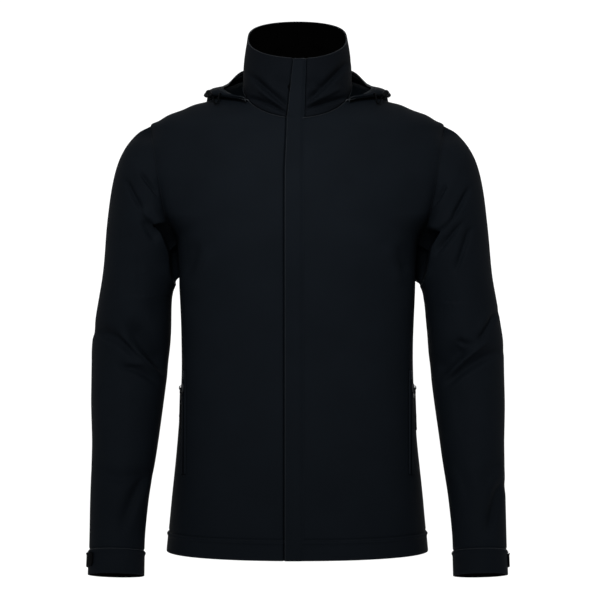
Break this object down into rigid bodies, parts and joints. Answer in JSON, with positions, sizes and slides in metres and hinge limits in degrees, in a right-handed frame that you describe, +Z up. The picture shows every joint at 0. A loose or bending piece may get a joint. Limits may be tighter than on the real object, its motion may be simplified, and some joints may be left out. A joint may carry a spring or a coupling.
{
  "type": "hooded windbreaker",
  "caption": "Dark softshell windbreaker held in its worn shape: stand-up collar, hood laid back, covered front zip, zipped hand pockets and long sleeves with cuff straps.",
  "frame": {"origin": "on the middle line inside the shoulders, level with the middle of the shoulder seams, where the garment rests on its wearer", "axes": "+Z up the wearer's back, +X to the wearer's left, -Y out of the front"},
  "size_m": [0.6201, 0.271, 0.8415],
  "materials": {
    "shell": "matt bonded softshell",
    "zip_tape": "woven tape with a moulded coil",
    "moulded": "satin",
    "slider": "satin black",
    "cord": "braided"
  },
  "bodies": {
    "garment": {"front_left": "shell", "front_right": "shell", "back": "shell", "sleeve_left": "shell", "sleeve_right": "shell", "cuff_tab_left": "shell", "cuff_tab_right": "shell", "collar": "shell", "storm_flap": "shell", "front_zip": "zip_tape", "front_zip_slider": "slider", "hood_left": "shell", "hood_right": "shell", "pocket_zip_left": "zip_tape", "pocket_zip_right": "zip_tape", "pocket_slider_left": "slider", "pocket_slider_right": "slider", "hood_cord_left": "cord", "hood_cord_right": "cord", "cord_lock_left": "moulded", "cord_lock_right": "moulded"},
    "left_pull": {"pocket_pull_left": "moulded"},
    "right_pull": {"pocket_pull_right": "moulded"}
  },
  "joints": [
    {"name": "left_pull_swing", "type": "hinge", "parent": "garment", "child": "left_pull", "pos_m": [0.17359, -0.04281, -0.42974], "axis": [-0.3257, -0.9455, -0.0038], "range_deg": [0, 150]},
    {"name": "right_pull_swing", "type": "hinge", "parent": "garment", "child": "right_pull", "pos_m": [-0.1725, -0.04298, -0.42978], "axis": [-0.3081, 0.9513, 0.0026], "range_deg": [0, 150]}
  ]
}
